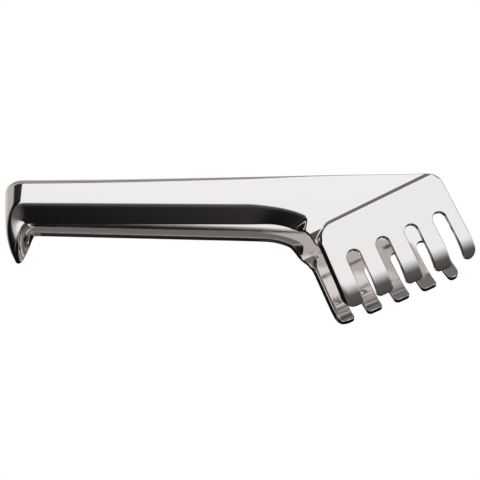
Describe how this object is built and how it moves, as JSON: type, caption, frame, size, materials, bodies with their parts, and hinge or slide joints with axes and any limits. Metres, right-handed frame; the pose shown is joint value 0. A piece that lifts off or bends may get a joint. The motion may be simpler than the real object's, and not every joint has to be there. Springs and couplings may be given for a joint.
{
  "type": "ice tongs",
  "caption": "Spring tongs folded from one polished steel strip, with flanged handles and two facing comb heads whose fingers curl inward.",
  "frame": {"origin": "middle of the bounding box, at its base, where the raised plate of the lower head touches the table", "axes": "+X from the spring bow toward the comb heads, +Z from the lower arm toward the upper arm, and the fingers point toward -Y"},
  "size_m": [0.178, 0.0542, 0.0288],
  "materials": {
    "stainless_steel": "mirror-polished stainless sheet"
  },
  "bodies": {
    "bow": {"spring_bow": "stainless_steel"},
    "upper": {"upper_arm": "stainless_steel"},
    "lower": {"lower_arm": "stainless_steel"}
  },
  "joints": [
    {"name": "upper_squeeze", "type": "hinge", "parent": "bow", "child": "upper", "pos_m": [-0.0831, 0.01751, 0.01703], "axis": [0, 1, 0], "range_deg": [-1.5, 2.6], "stiffness_Nm_per_rad": 12},
    {"name": "lower_squeeze", "type": "hinge", "parent": "bow", "child": "lower", "pos_m": [-0.08292, 0.01751, 0.00643], "axis": [0, -1, 0], "range_deg": [-1.5, 2.6], "stiffness_Nm_per_rad": 12}
  ]
}
